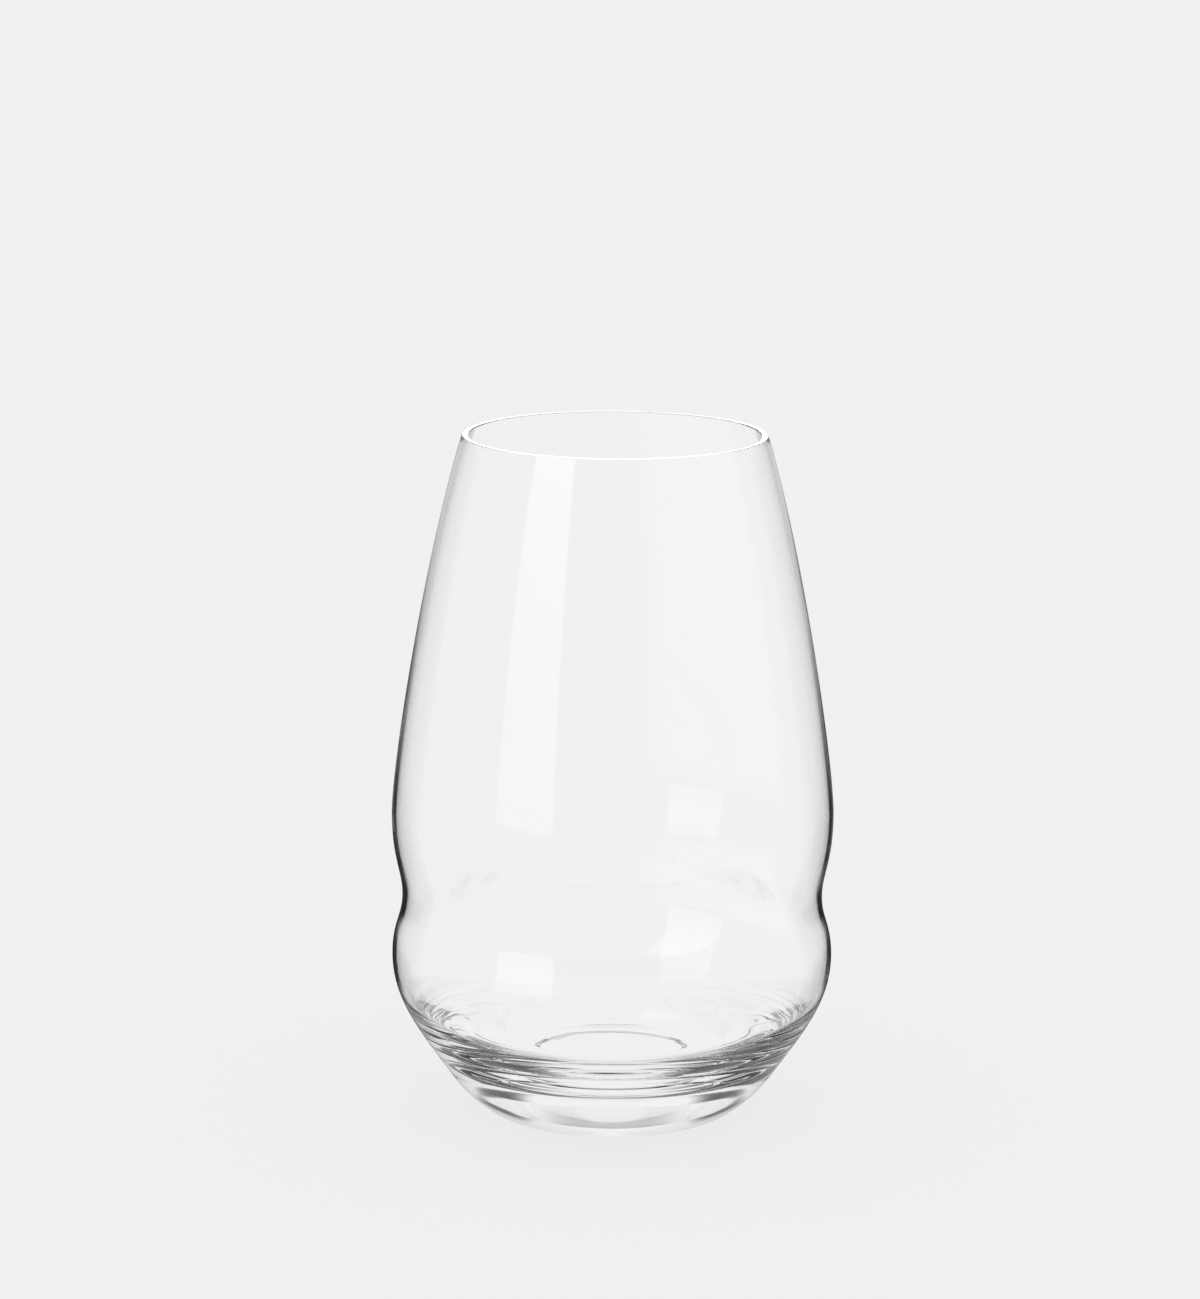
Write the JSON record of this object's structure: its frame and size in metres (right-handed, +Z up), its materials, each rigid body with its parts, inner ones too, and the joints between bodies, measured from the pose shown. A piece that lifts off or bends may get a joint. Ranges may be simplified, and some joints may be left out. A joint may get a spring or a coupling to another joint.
{
  "type": "glass tumbler",
  "caption": "Clear stemless glass tumbler with a tapered upper wall, a waist groove above a rounded bowl, and a thick base that stands on a flat ring.",
  "frame": {"origin": "centre of the standing ring, on the table plane", "axes": "+Z up along the glass's axis of revolution, from the base to the lip"},
  "size_m": [0.088, 0.088, 0.1366],
  "materials": {
    "clear_glass": "polished, colourless, transparent"
  },
  "bodies": {
    "root": {"glass_body": "clear_glass"}
  },
  "joints": []
}
